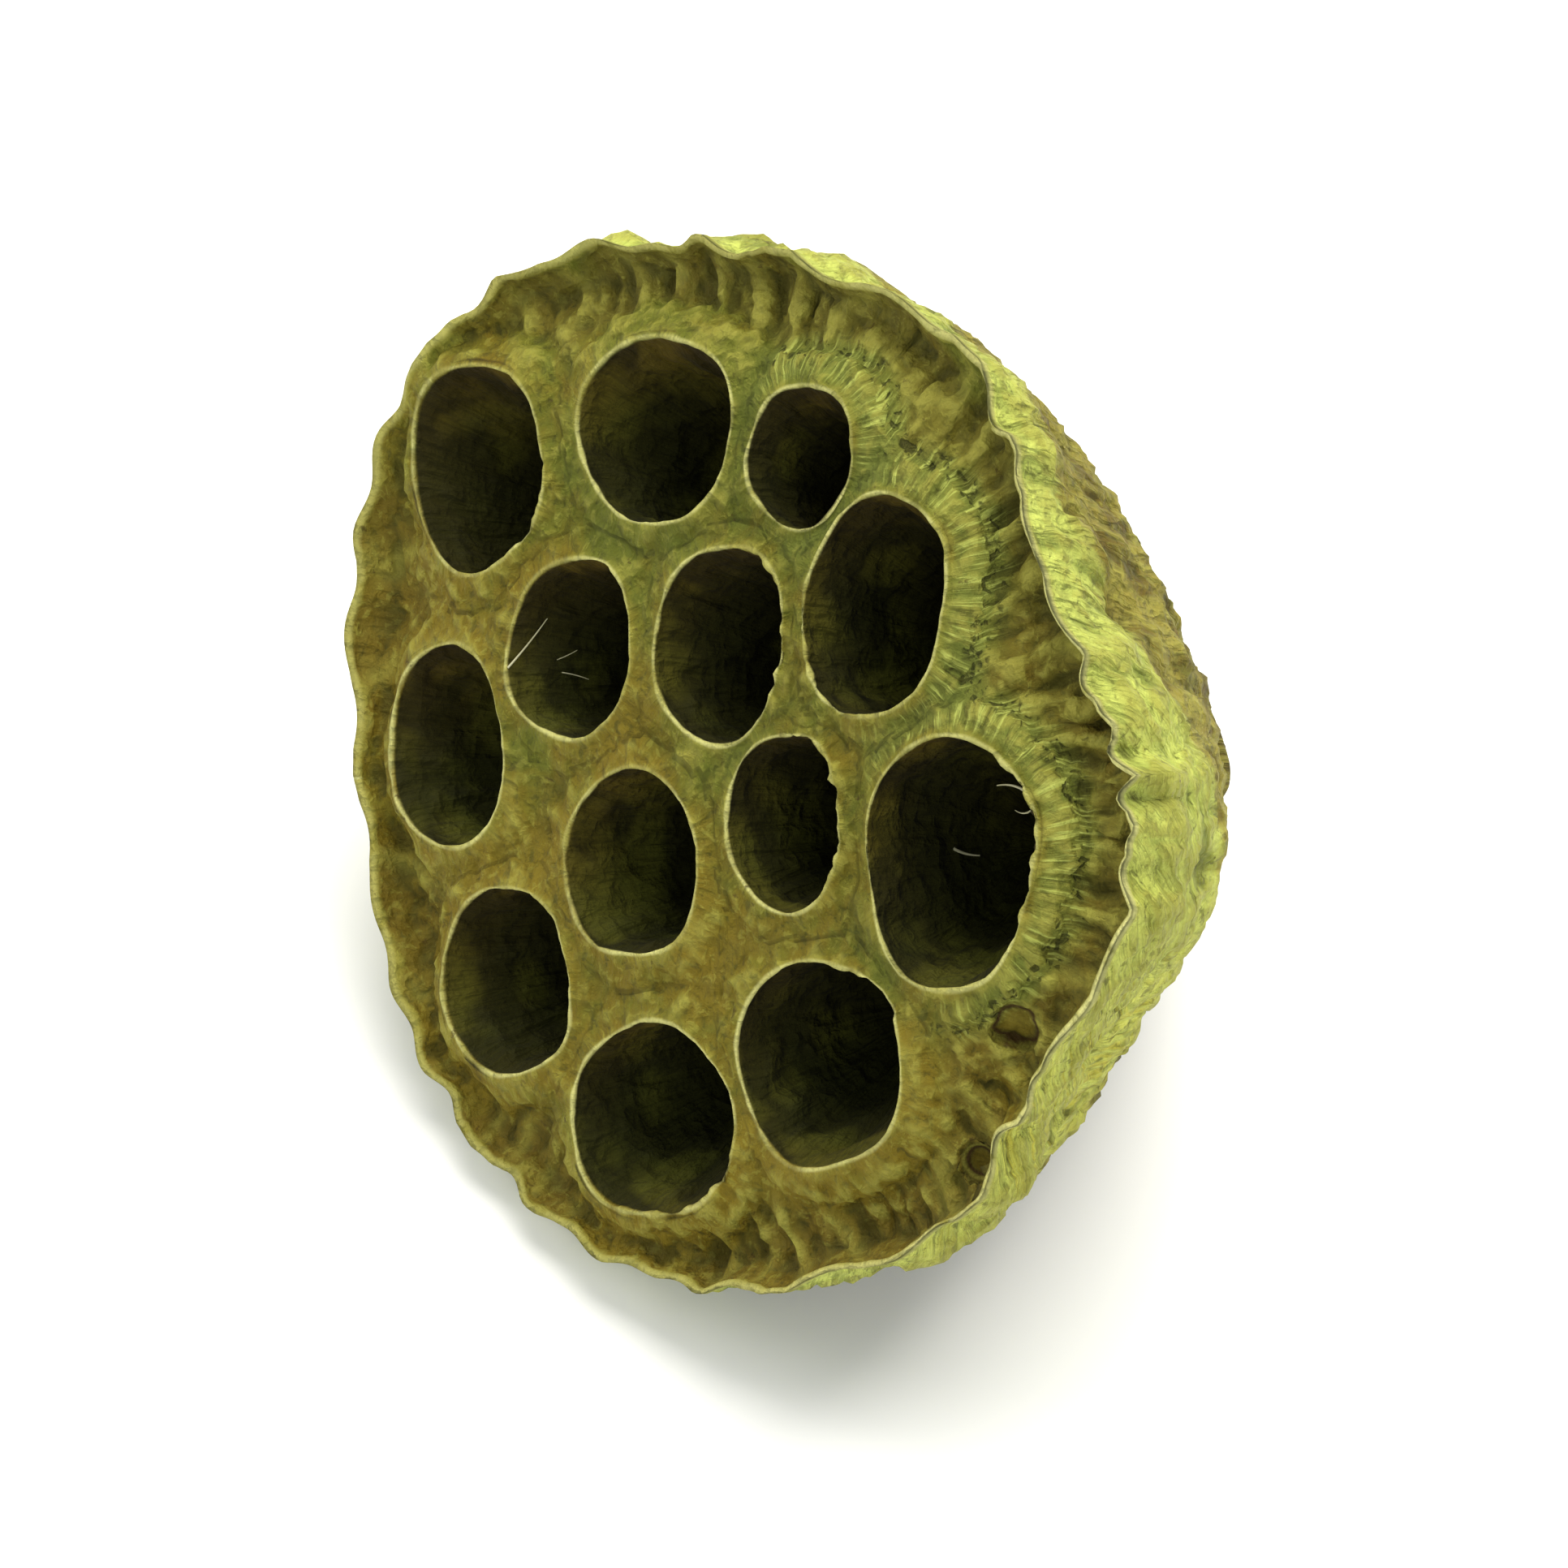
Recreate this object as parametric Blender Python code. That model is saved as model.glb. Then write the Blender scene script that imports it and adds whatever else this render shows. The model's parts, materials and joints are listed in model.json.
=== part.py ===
"""A dried lotus pod, the empty seed head of a lotus, lying on its side as picked.

The pod grew as one piece and is one object. Its face is a net of ridges round thirteen
seed pits, and its ribbed wall narrows to a knotted stub of stalk. It is modelled about
its own axis, face up at height zero with the stub below, and is then laid down with the
face towards -Y, on a small flat of its wall and on the end of the stub. Units are metres.
"""

import math

import bmesh
import bpy
from mathutils import Matrix, Vector, noise
from mathutils.geometry import delaunay_2d_cdt

MM = 0.001

# The rim, seen face on: its radius in mm every 20 degrees, counted anticlockwise from +X
RIM_RADII = (
    33.8, 30.6, 32.4, 35.8, 36.2, 38.2, 42.0, 43.0, 40.4,
    36.9, 36.3, 36.7, 36.6, 36.4, 36.0, 36.4, 35.9, 35.2,
)
MEAN_RIM = sum(RIM_RADII) / len(RIM_RADII) * MM
# Each lobe of the rim runs down the wall as a rib, and the ribs join in pairs towards the stub
LOBES = 32
LOBE_DEPTH = 0.55 * MM

# The seed pits: centre across and up, width and height, turn in degrees, and how much
# the mouth narrows towards its top
PITS = (
    (-24.8, 22.3, 13.4, 15.0, 12, 0.00),
    (-7.3, 24.4, 14.2, 13.1, -5, -0.06),
    (6.0, 22.3, 9.1, 9.8, -24, 0.00),
    (13.1, 11.9, 12.1, 15.4, -14, 0.10),
    (-14.9, 9.0, 11.6, 12.8, -8, 0.00),
    (-0.9, 9.2, 11.2, 13.8, -12, 0.00),
    (-27.4, 2.1, 12.0, 14.6, 5, 0.00),
    (-8.8, -6.3, 12.6, 13.1, 6, 0.00),
    (5.2, -3.3, 10.0, 12.3, 0, 0.00),
    (19.6, -6.0, 13.9, 17.4, -4, 0.00),
    (-21.4, -14.9, 12.6, 13.4, 7, 0.00),
    (-7.7, -24.2, 15.0, 13.5, 14, 0.16),
    (8.0, -20.2, 14.6, 14.2, 10, -0.06),
)
PIT_POINTS = 24
PIT_SQUARENESS = 2.25
PIT_DEPTH = 18.5 * MM
PIT_LEAST_DEPTH = 15.0 * MM
# Down each pit: share of its depth, share of its mouth's size, points round it
PIT_RINGS = ((0.07, 1.03, 24), (0.32, 1.00, 24), (0.62, 0.86, 24), (0.84, 0.62, 12), (0.96, 0.34, 12))
PIT_MEETING_DEPTH = 74.0 * MM

# The relief of the face
LIP_HEIGHT = 0.95 * MM
LIP_WIDTH = 0.95 * MM
LIP_CREST = 0.55 * MM
TROUGH_DEPTH = 1.5 * MM
TROUGH_PLACE = 3.6 * MM
TROUGH_WIDTH = 2.0 * MM
RIDGE_HEIGHT = 0.9 * MM
RIDGE_WIDTH = 1.1 * MM
RIDGE_SHOULDER = 1.3 * MM
DOME = 1.8 * MM
FACE_WAVE = 0.9 * MM
FACE_WAVE_LENGTH = 14.0 * MM
PLEAT_DEPTH = 0.4 * MM
FACE_SPACING = 2.0 * MM

# Down the wall and the stub: depth below the face, mean radius, points round it
WALL_RINGS = (
    (1.3, 36.3, 128), (4.2, 35.9, 128), (8.0, 34.2, 128), (12.0, 32.0, 128), (15.5, 30.2, 128),
    (17.6, 28.9, 128), (19.4, 27.0, 128), (24.0, 23.4, 128), (28.5, 19.8, 128), (33.0, 15.8, 64),
    (37.5, 11.6, 64), (41.0, 8.1, 32), (43.6, 5.7, 32), (45.0, 4.5, 32), (46.3, 5.8, 32),
    (47.7, 5.6, 32), (48.7, 4.5, 32), (49.7, 5.3, 32), (51.0, 5.1, 32), (52.0, 3.7, 32),
)
NECK_DEPTH = 45.0 * MM
POD_LENGTH = 52.0 * MM
RIB_HEIGHT = 0.55 * MM
FLAT_SIDES = 4
FLAT_SIDE_DEPTH = 1.2 * MM
DENTS = 7
DENT_DEPTH = 0.6 * MM
KNOT_RELIEF = 0.5 * MM
STUB_LEAN = 1.6 * MM

# How it lies: the side of the rim that is lowest, the slope of its axis, and the flats
LOWEST_SIDE = math.radians(233.0)
AXIS_SLOPE = math.radians(35.7)
FLAT_DEPTH = 1.0 * MM

POD_COLOUR = (0.235, 0.250, 0.050, 1.0)
POD_ROUGHNESS = 0.82


def clear_scene():
    for item in list(bpy.data.objects):
        bpy.data.objects.remove(item)


def polar(radius, angle):
    return Vector((radius * math.cos(angle), radius * math.sin(angle)))


def ease(value):
    """Runs from 0 to 1 as value does, level at both ends."""
    value = min(1.0, max(0.0, value))
    return value * value * (3.0 - 2.0 * value)


def rim_outline(angle):
    """The rim's radius without its scallops, on a smooth closed curve through RIM_RADII."""
    place = angle / math.tau * len(RIM_RADII) % len(RIM_RADII)
    step = int(place)
    t = place - step
    before, here, after, beyond = (RIM_RADII[(step + k) % len(RIM_RADII)] * MM for k in (-1, 0, 1, 2))
    slope_here = (after - before) / 2
    slope_after = (beyond - here) / 2
    return (
        here * (1 + 2 * t) * (1 - t) ** 2
        + slope_here * t * (1 - t) ** 2
        + after * t * t * (3 - 2 * t)
        + slope_after * t * t * (t - 1)
    )


def lobe_wave(angle, share=1.0):
    """Uneven waves round the pod, from -1 to 1, as many as that share of the lobes."""
    phase = LOBES * share * angle + 1.7 * math.sin(3 * angle) + 1.1 * math.sin(7 * angle)
    swell = 0.7 + 0.3 * math.sin(5 * angle + 1.0)
    return swell * math.cos(phase)


def rim_radius(angle):
    """The rim's radius with its uneven lobes."""
    return rim_outline(angle) + LOBE_DEPTH * lobe_wave(angle)


def pit_radius(pit, angle):
    """The radius of a pit's mouth, a rounded egg with a slight wobble of its own."""
    across, up, width, height, _, narrowing = pit
    side = angle - math.radians(pit[4])
    broad = abs(math.cos(side) / (width / 2 * MM)) ** PIT_SQUARENESS
    tall = abs(math.sin(side) / (height / 2 * MM)) ** PIT_SQUARENESS
    radius = (broad + tall) ** (-1 / PIT_SQUARENESS)
    egg = 1 - narrowing * math.sin(side) * math.cos(side) ** 2
    wobble = 1 + 0.025 * math.sin(3 * angle + across) + 0.02 * math.sin(5 * angle + up)
    return radius * egg * wobble


def pit_centre(pit):
    return Vector(pit[:2]) * MM


def pit_outline(pit, offset, count, scale=1.0):
    """Points round a pit's mouth, that far outside it."""
    angles = [math.tau * k / count for k in range(count)]
    return [pit_centre(pit) + polar(pit_radius(pit, a) * scale + offset, a) for a in angles]


def pit_distance(pit, point):
    """How far a point of the face lies outside a pit's mouth."""
    way = point - pit_centre(pit)
    return way.length - pit_radius(pit, math.atan2(way.y, way.x))


def rim_distance(point):
    return rim_radius(math.atan2(point.y, point.x)) - point.length


def face_height(point):
    """The relief of the face: lips round the pits, a trough inside the rim, and the rim's ridge."""
    nearest = max(0.0, min(pit_distance(pit, point) for pit in PITS))
    inside = max(0.0, rim_distance(point))
    angle = math.atan2(point.y, point.x)
    lip = LIP_HEIGHT * math.exp(-((max(0.0, nearest - LIP_CREST) / LIP_WIDTH) ** 2))
    trough = TROUGH_DEPTH * math.exp(-(((inside - TROUGH_PLACE) / TROUGH_WIDTH) ** 2))
    trough *= ease(nearest / (2 * LIP_WIDTH)) * ease((nearest + inside) / (2 * TROUGH_PLACE))
    ridge = RIDGE_HEIGHT * math.exp(-((inside / RIDGE_WIDTH) ** 2))
    pleat = PLEAT_DEPTH * lobe_wave(angle) * ease(nearest / LIP_WIDTH)
    pleat *= math.exp(-((inside / (1.5 * TROUGH_PLACE)) ** 2))
    dome = DOME * (1 - (point.length / MEAN_RIM) ** 2)
    wave = FACE_WAVE * noise.noise((point / FACE_WAVE_LENGTH).to_3d() + Vector((3.1, 0.4, 7.0)))
    return lip - trough + ridge + pleat + dome + wave


def inside_loop(point, loop):
    """True if the point lies inside the closed ring of points."""
    inside = False
    for k, here in enumerate(loop):
        last = loop[k - 1]
        if (here.y > point.y) != (last.y > point.y):
            crossing = last.x + (point.y - last.y) * (here.x - last.x) / (here.y - last.y)
            inside ^= point.x < crossing
    return inside


def keep_apart(points, taken, least):
    """The points that lie at least that far from each other and from the taken ones."""
    kept = []
    for point in points:
        if all((point - other).length >= least for other in taken + kept):
            kept.append(point)
    return kept


def groove_points():
    """Points half way between neighbouring pits, where the groove between their lips runs."""
    found = []
    for pit in PITS:
        for edge in pit_outline(pit, 0.0, PIT_POINTS):
            others = [(pit_distance(other, edge), other) for other in PITS if other is not pit]
            gap, other = min(others, key=lambda pair: pair[0])
            if gap < 2 * FACE_SPACING:
                away = (pit_centre(other) - edge).normalized()
                found.append(edge + away * gap / 2)
    return [p for p in found if min(pit_distance(pit, p) for pit in PITS) > 1.6 * LIP_CREST]


def field_points():
    """Points spread evenly over the open parts of the face, in staggered rows."""
    reach = int(1.2 * MEAN_RIM / FACE_SPACING)
    found = []
    for row in range(-reach, reach + 1):
        for column in range(-reach, reach + 1):
            jitter = noise.noise_vector(Vector((column * 0.7, row * 0.9, 5.0))) * 0.3
            across = (column + 0.5 * (row % 2) + jitter.x) * FACE_SPACING
            found.append(Vector((across, (row * 0.87 + jitter.y) * FACE_SPACING)))
    return [
        p
        for p in found
        if rim_distance(p) > RIDGE_SHOULDER + 0.45 * FACE_SPACING
        and min(pit_distance(pit, p) for pit in PITS) > LIP_CREST + 0.45 * FACE_SPACING
    ]


def build_face(bm):
    """Fills the face with triangles round its pits, and returns the rim's ring and the pits' rings."""
    rim_points = WALL_RINGS[0][2]
    angles = [math.tau * k / rim_points for k in range(rim_points)]
    loops = [[polar(rim_radius(a), a) for a in angles]]
    mouths = [pit_outline(pit, 0.0, PIT_POINTS) for pit in PITS]
    loops += mouths
    loops.append([polar(rim_radius(a) - RIDGE_SHOULDER, a) for a in angles])
    loops += [pit_outline(pit, LIP_CREST, PIT_POINTS) for pit in PITS]
    points, edges = [], []
    for loop in loops:
        first = len(points)
        edges += [(first + k, first + (k + 1) % len(loop)) for k in range(len(loop))]
        points += loop
    grooves = keep_apart(groove_points(), points, 0.35 * FACE_SPACING)
    points += grooves
    points += keep_apart(field_points(), grooves, 0.6 * FACE_SPACING)
    flat, _, faces, *_ = delaunay_2d_cdt(points, edges, [], 0, 1e-7)
    verts = [bm.verts.new((p.x, p.y, face_height(p))) for p in flat]
    for face in faces:
        middle = sum((flat[k] for k in face), Vector((0, 0))) / len(face)
        if inside_loop(middle, loops[0]) and not any(inside_loop(middle, mouth) for mouth in mouths):
            bm.faces.new([verts[k] for k in face])
    rings = []
    first = 0
    for loop in loops[: 1 + len(PITS)]:
        rings.append(verts[first : first + len(loop)])
        first += len(loop)
    bmesh.ops.delete(bm, geom=[v for v in bm.verts if not v.link_faces], context="VERTS")
    return rings[0], rings[1:]


def add_ring(bm, upper, points):
    """Adds a ring of points and bridges it to the ring above."""
    lower = [bm.verts.new(p) for p in points]
    for ring in (upper, lower):
        for k, vert in enumerate(ring):
            if bm.edges.get((vert, ring[k - 1])) is None:
                bm.edges.new((vert, ring[k - 1]))
    edges = [bm.edges.get((ring[k], ring[k - 1])) for ring in (upper, lower) for k in range(len(ring))]
    bmesh.ops.bridge_loops(bm, edges=edges)
    return lower


def close_ring(bm, ring, rise):
    """Closes a ring with a fan whose middle is raised."""
    cap = bm.faces.new(ring)
    middle = bmesh.ops.poke(bm, faces=[cap])["verts"][0]
    middle.co.z += rise


def build_pit(bm, pit, mouth):
    """Carries a pit down from its mouth. Pits lean towards the stub and narrow to a round floor."""
    centre = pit_centre(pit)
    outward = centre.length / MEAN_RIM
    depth = PIT_DEPTH - (PIT_DEPTH - PIT_LEAST_DEPTH) * ease(outward)
    top = sum(v.co.z for v in mouth) / len(mouth)
    ring = mouth
    for share, size, count in PIT_RINGS:
        below = depth * share
        lean = 1 - below / PIT_MEETING_DEPTH
        outline = pit_outline(pit, 0.0, count, size)
        ring = add_ring(bm, ring, [(p * lean).to_3d() + Vector((0, 0, top - below)) for p in outline])
    close_ring(bm, ring, -0.5 * MM)


def wall_relief(angle, depth):
    """How far the ribs, the flat sides and the dents of the wall stand out or in."""
    paired = ease((depth - 26 * MM) / (8 * MM))
    rib = RIB_HEIGHT * (lobe_wave(angle) * (1 - paired) + lobe_wave(angle, 0.5) * paired)
    side = FLAT_SIDE_DEPTH * math.cos(FLAT_SIDES * angle - 0.3)
    dent = DENT_DEPTH * math.cos(DENTS * angle + depth / (13 * MM) + 0.6)
    return rib + ease(depth / (9 * MM)) * (1 - ease(depth / NECK_DEPTH)) * (side + dent)


def wall_point(angle, depth, radius):
    """A point of the wall, which loses the rim's outline and becomes round towards the stub."""
    roundness = ease(depth / NECK_DEPTH)
    radius *= rim_outline(angle) / MEAN_RIM * (1 - roundness) + roundness
    if depth < NECK_DEPTH:
        radius += wall_relief(angle, depth)
        lean = 0.0
    else:
        radius += KNOT_RELIEF * math.sin(3 * angle + depth / (1.1 * MM)) * math.cos(2 * angle + 0.6)
        lean = STUB_LEAN * (depth - NECK_DEPTH) / (POD_LENGTH - NECK_DEPTH)
    spot = polar(radius, angle) + polar(lean, LOWEST_SIDE - math.pi / 2)
    return Vector((spot.x, spot.y, -depth))


def build_wall(bm, rim):
    """Carries the wall down from the rim to the end of the stub."""
    ring = rim
    for depth, radius, count in WALL_RINGS:
        angles = [math.tau * k / count for k in range(count)]
        ring = add_ring(bm, ring, [wall_point(a, depth * MM, radius * MM) for a in angles])
    close_ring(bm, ring, 0.7 * MM)


def lying_pose():
    """The turn that points the face to -Y and up, with LOWEST_SIDE of the rim downwards."""
    spin = Matrix.Rotation(-math.pi / 2 - LOWEST_SIDE, 4, "Z")
    return Matrix.Rotation(math.pi / 2 - AXIS_SLOPE, 4, "X") @ spin


def lay_down(pod):
    """Lays the pod on z = 0 over the origin, with the lowest of its wall and stub worn to flats."""
    pod.matrix_world = lying_pose()
    world = [pod.matrix_world @ v.co for v in pod.data.vertices]
    floor = min(p.z for p in world) + FLAT_DEPTH
    middle = [(min(p[k] for p in world) + max(p[k] for p in world)) / 2 for k in (0, 1)]
    back = pod.matrix_world.inverted()
    for vert, place in zip(pod.data.vertices, world):
        if place.z < floor:
            vert.co = back @ Vector((place.x, place.y, floor))
    pod.location = (-middle[0], -middle[1], -floor)


def pod_material():
    material = bpy.data.materials.new("dried_pod")
    material.use_nodes = True
    shader = material.node_tree.nodes["Principled BSDF"]
    shader.inputs["Base Color"].default_value = POD_COLOUR
    shader.inputs["Roughness"].default_value = POD_ROUGHNESS
    shader.inputs["Metallic"].default_value = 0.0
    material.diffuse_color = POD_COLOUR
    return material


def build_pod():
    bm = bmesh.new()
    rim, mouths = build_face(bm)
    build_wall(bm, rim)
    for pit, mouth in zip(PITS, mouths):
        build_pit(bm, pit, mouth)
    bmesh.ops.triangulate(bm, faces=bm.faces)
    bmesh.ops.recalc_face_normals(bm, faces=bm.faces)
    mesh = bpy.data.meshes.new("lotus_pod")
    bm.to_mesh(mesh)
    bm.free()
    mesh.materials.append(pod_material())
    mesh.shade_smooth()
    pod = bpy.data.objects.new("lotus_pod", mesh)
    lay_down(pod)
    return pod


def main():
    clear_scene()
    shelf = bpy.data.collections.new("dried_lotus_pod")
    bpy.context.scene.collection.children.link(shelf)
    shelf.objects.link(build_pod())


main()
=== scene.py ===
"""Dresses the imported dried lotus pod: crumpled skin, dry fibres and the stage it lies on."""

import json
import math

import bpy
import numpy as np
from mathutils import Matrix, Vector
from mathutils.bvhtree import BVHTree
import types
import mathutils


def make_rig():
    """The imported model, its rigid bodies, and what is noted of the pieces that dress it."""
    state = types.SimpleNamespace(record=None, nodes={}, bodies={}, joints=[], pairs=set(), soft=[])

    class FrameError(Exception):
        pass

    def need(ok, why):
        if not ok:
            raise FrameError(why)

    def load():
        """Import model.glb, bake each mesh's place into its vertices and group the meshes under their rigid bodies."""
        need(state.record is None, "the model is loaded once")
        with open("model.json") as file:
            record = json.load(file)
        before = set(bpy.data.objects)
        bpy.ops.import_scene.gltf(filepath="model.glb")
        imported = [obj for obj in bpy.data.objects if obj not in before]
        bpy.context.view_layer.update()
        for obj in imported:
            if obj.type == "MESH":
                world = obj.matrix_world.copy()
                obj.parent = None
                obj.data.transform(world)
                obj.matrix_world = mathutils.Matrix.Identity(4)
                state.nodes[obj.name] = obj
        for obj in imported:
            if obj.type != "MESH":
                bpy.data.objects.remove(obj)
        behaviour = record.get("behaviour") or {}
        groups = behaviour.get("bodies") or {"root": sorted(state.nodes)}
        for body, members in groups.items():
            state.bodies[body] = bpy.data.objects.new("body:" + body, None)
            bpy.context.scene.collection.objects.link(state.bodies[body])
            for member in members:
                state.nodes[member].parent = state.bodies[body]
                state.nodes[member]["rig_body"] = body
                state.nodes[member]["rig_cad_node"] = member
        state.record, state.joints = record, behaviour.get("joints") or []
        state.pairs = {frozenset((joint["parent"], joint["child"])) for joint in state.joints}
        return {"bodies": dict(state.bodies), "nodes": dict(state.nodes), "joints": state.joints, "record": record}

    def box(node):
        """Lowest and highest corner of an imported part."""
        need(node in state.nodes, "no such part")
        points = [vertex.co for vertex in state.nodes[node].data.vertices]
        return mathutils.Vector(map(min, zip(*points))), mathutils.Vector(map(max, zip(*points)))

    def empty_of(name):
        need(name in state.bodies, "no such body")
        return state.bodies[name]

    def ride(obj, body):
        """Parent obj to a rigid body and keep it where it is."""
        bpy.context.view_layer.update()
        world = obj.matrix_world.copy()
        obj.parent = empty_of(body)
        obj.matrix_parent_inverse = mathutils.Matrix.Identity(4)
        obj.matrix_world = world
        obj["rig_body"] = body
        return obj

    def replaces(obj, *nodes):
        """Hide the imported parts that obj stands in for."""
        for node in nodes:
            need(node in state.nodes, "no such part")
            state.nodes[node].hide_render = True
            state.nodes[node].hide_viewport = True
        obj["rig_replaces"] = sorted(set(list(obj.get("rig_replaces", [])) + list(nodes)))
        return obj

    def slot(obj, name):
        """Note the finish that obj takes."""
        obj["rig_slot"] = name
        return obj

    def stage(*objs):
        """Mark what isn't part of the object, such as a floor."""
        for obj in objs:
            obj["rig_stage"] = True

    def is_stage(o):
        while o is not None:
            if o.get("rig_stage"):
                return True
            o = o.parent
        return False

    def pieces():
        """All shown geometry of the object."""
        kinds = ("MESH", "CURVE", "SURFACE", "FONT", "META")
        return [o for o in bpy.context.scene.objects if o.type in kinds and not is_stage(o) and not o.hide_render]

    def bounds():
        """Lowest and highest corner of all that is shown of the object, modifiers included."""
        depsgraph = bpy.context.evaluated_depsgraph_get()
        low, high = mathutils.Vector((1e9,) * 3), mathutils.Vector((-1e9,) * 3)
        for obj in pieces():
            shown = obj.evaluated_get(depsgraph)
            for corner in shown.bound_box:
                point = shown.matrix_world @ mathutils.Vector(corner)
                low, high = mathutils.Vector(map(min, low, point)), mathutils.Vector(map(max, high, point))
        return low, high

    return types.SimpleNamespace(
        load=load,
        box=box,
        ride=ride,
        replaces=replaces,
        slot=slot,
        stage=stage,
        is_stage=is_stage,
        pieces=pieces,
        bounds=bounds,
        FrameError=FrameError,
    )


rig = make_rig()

bl_info = {
    "name": "Dried lotus pod",
    "version": (1, 0, 0),
    "blender": (4, 5, 0),
    "location": "View3D > Sidebar > Lotus Pod",
    "description": "Dresses a dried lotus pod and lights it on a pale floor",
    "category": "Add Mesh",
}

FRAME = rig.load()
CAD_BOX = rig.bounds()

# Sizes are in mm on the pod's own axes, face up, where nothing else is said.
# FAR is further than anything on the pod
MM = 0.001
FAR = 99.0

# How the pod lies: the middle of its face, the side of the rim that is lowest, the axis's slope
FACE_MIDDLE = Vector((3.51, -11.19, 32.69)) * MM
LOWEST_SIDE = math.radians(233.0)
AXIS_SLOPE = math.radians(35.7)

# The turn from the pod's own axes to how it lies
POD_TURN = Matrix.Rotation(math.pi / 2 - AXIS_SLOPE, 4, "X") @ Matrix.Rotation(
    -math.pi / 2 - LOWEST_SIDE, 4, "Z"
)
TURN_ARRAY = np.array(POD_TURN)[:3, :3]

# The seed pits, seen face on: centre across and up, width, height, turn, narrowing
PITS = (
    (-24.8, 22.3, 13.4, 15.0, 12, 0.00),
    (-7.3, 24.4, 14.2, 13.1, -5, -0.06),
    (6.0, 22.3, 9.1, 9.8, -24, 0.00),
    (13.1, 11.9, 12.1, 15.4, -14, 0.10),
    (-14.9, 9.0, 11.6, 12.8, -8, 0.00),
    (-0.9, 9.2, 11.2, 13.8, -12, 0.00),
    (-27.4, 2.1, 12.0, 14.6, 5, 0.00),
    (-8.8, -6.3, 12.6, 13.1, 6, 0.00),
    (5.2, -3.3, 10.0, 12.3, 0, 0.00),
    (19.6, -6.0, 13.9, 17.4, -4, 0.00),
    (-21.4, -14.9, 12.6, 13.4, 7, 0.00),
    (-7.7, -24.2, 15.0, 13.5, 14, 0.16),
    (8.0, -20.2, 14.6, 14.2, 10, -0.06),
)
PIT_SQUARENESS = 2.25
PIT_MEETING_DEPTH = 74.0
DEEPEST_PIT = 19.3

# Small blind dimples where no seed grew: across, up, radius
DIMPLES = ((24.9, -18.4, 1.6), (19.6, -27.2, 1.0))

# Lips that dried ragged: the pit, where round it, how far to each side of that in degrees
RAGGED_LIPS = (
    (3, 215, 40), (5, 15, 55), (8, 30, 60), (9, 5, 50),
    (0, 330, 35), (11, 300, 40), (12, 60, 30),
)

# Pits whose outer slopes dried in fine strands with small pores beyond them
COLLARED_PITS = (2, 3, 9)

# The rim's outline and each lip's height are read in this many steps round
RIM_STEPS = 270
LIP_STEPS = 30

# Outside the pits, all skin deeper than this is wall, which grows up to the rim in these rounds
WALL_START = 3.4
WALL_ROUNDS = 24

# Waves of the rim and pleats of the trough: how many round the pod, and their shift
RIM_WAVES = (24, 0.0)
BROAD_PLEATS = (47, 0.0)
NARROW_PLEATS = (112, 1.3)

# How far the waves move the rim
RIM_WAVE = 1.3

# Where the rim dried pressed in: the angle round the pod, half its breadth in radians, how far
RIM_DENT = (-0.70, 0.23, 2.4)

# The share of the thin rim's thickness that a fold may take, and the thickness looked for
FOLD_SHARE = 0.38
THICKEST_RIM = 20

# The map of the strands: its width for each radian round the pod and round a pit, its shift from
# one pit to the next, its length for each mm, and how far the wall's strands slant
STRANDS_ROUND_POD = 2.2
STRANDS_ROUND_PIT = 0.62
STRANDS_NEXT_PIT = 1.7
STRANDS_ALONG = 0.018
STRANDS_SLANT = 0.11

# Vertex weights are given in steps
WEIGHT_STEPS = 20

# Dry fibres: both ends, how far the middle bends aside and the radius
FIBRES = (
    ((-20.7, 7.7, 2.3), (-19.3, 12.3, -1.4), 0.2, 0.09),
    ((-20.9, 7.9, -0.2), (-18.4, 9.0, -2.6), 0.3, 0.07),
    ((-20.6, 7.4, -0.8), (-18.0, 6.9, -3.4), -0.3, 0.07),
    ((25.6, -1.6, 0.2), (21.2, -0.7, -1.3), 0.5, 0.12),
    ((25.4, -2.2, -0.1), (22.3, -2.4, -1.9), -0.4, 0.08),
    ((11.7, -4.8, -7.6), (14.2, -5.6, -8.2), 0.3, 0.15),
    ((-26.2, -18.2, -4.0), (-25.1, -18.6, -5.4), 0.2, 0.12),
)
FIBRE_TAPER = (1.0, 0.4)

# The soft lights: name, place and size in m, power in W, colour. All aim at one spot
LIGHTS = (
    ("Key", (-0.10, 0.32, 0.75), 0.80, 11.4, (1.0, 0.97, 0.90)),
    ("Fill", (0.75, -0.45, 0.50), 0.70, 3.6, (0.92, 0.96, 1.0)),
    ("Side", (-0.60, -0.45, 0.45), 0.50, 3.0, (1.0, 0.98, 0.94)),
)
LIGHTS_AIM = Vector((0, 0, 0.03))
SKY_COLOUR = (0.94, 0.97, 1.0, 1.0)
SKY_STRENGTH = 0.52

# Where the camera looks, its lens in mm, and the nearest that it sees in m
CAMERA_AIM = Vector((2.5, -7.3, 28.0)) * MM
CAMERA_LENS = 178.0
CAMERA_NEAR = 0.01


def to_pod(points):
    """Points of the scene, on the pod's own axes."""
    return (points - np.array(FACE_MIDDLE)) @ TURN_ARRAY / MM


def from_pod(point):
    """A point on the pod's own axes, as a point of the scene in m."""
    return FACE_MIDDLE + POD_TURN @ (Vector(point) * MM)


def ease(values):
    """Runs from 0 to 1 as the values do, level at both ends."""
    values = np.clip(values, 0.0, 1.0)
    return values * values * (3.0 - 2.0 * values)


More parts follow.
